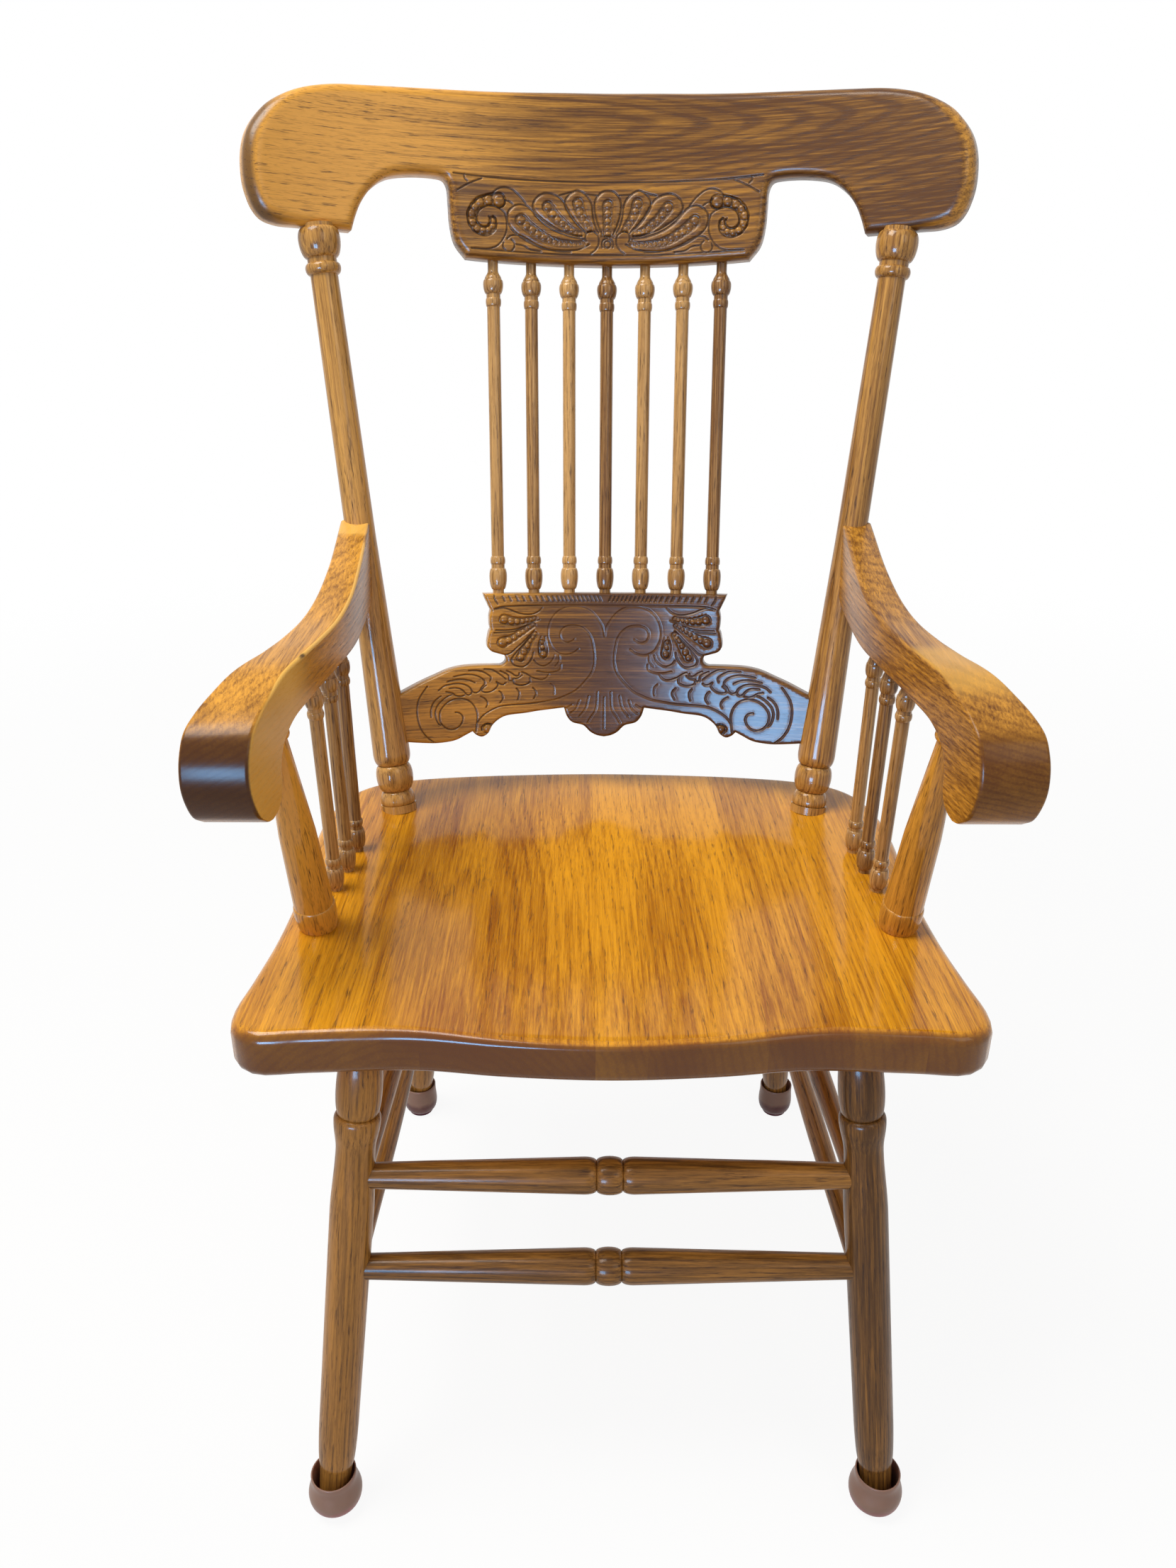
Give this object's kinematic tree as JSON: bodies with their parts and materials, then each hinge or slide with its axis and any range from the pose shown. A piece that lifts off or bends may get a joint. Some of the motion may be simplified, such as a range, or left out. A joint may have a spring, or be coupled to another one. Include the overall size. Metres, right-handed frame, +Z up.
{
  "type": "captain's chair",
  "caption": "Pressed-back wooden armchair with bent crest rail, splat, turned spindles, scrolled arms, scooped plank seat, turned legs, stretchers and soft capped feet.",
  "frame": {"origin": "on the floor, under the middle of the chair's outer box", "axes": "+X to the sitter's left (the viewer's right in the picture), +Y to the back of the chair, +Z up"},
  "size_m": [0.622, 0.5932, 1.0736],
  "materials": {
    "seat_oak": "amber oak staves under a glossy clear varnish",
    "pressed_oak": "honey to brown oak with darkened pressed grooves, glossy varnish",
    "arm_oak": "amber oak with worn pale edges, glossy varnish",
    "post_oak": "golden brown oak, glossy varnish",
    "spindle_oak": "pale golden oak, satin varnish",
    "leg_oak": "pale brown oak, satin varnish",
    "cap_silicone": "soft translucent silicone with a mauve brown tint",
    "pad_felt": "dark red felt"
  },
  "bodies": {
    "root": {"seat": "seat_oak", "left_front_leg": "leg_oak", "left_front_leg_cap": "cap_silicone", "left_front_felt_pad": "pad_felt", "left_back_leg": "leg_oak", "left_back_leg_cap": "cap_silicone", "left_back_felt_pad": "pad_felt", "right_front_leg": "leg_oak", "right_front_leg_cap": "cap_silicone", "right_front_felt_pad": "pad_felt", "right_back_leg": "leg_oak", "right_back_leg_cap": "cap_silicone", "right_back_felt_pad": "pad_felt", "upper_front_stretcher": "leg_oak", "lower_front_stretcher": "leg_oak", "left_upper_side_stretcher": "leg_oak", "left_lower_side_stretcher": "leg_oak", "right_upper_side_stretcher": "leg_oak", "right_lower_side_stretcher": "leg_oak", "back_stretcher": "leg_oak", "crest_rail": "pressed_oak", "lower_splat": "pressed_oak", "left_back_post": "post_oak", "right_back_post": "post_oak", "back_spindle_1": "spindle_oak", "back_spindle_2": "spindle_oak", "back_spindle_3": "spindle_oak", "back_spindle_4": "spindle_oak", "back_spindle_5": "spindle_oak", "back_spindle_6": "spindle_oak", "back_spindle_7": "spindle_oak", "left_arm": "arm_oak", "left_arm_post": "post_oak", "left_front_arm_spindle": "spindle_oak", "left_middle_arm_spindle": "spindle_oak", "left_back_arm_spindle": "spindle_oak", "right_arm": "arm_oak", "right_arm_post": "post_oak", "right_front_arm_spindle": "spindle_oak", "right_middle_arm_spindle": "spindle_oak", "right_back_arm_spindle": "spindle_oak"}
  },
  "joints": []
}
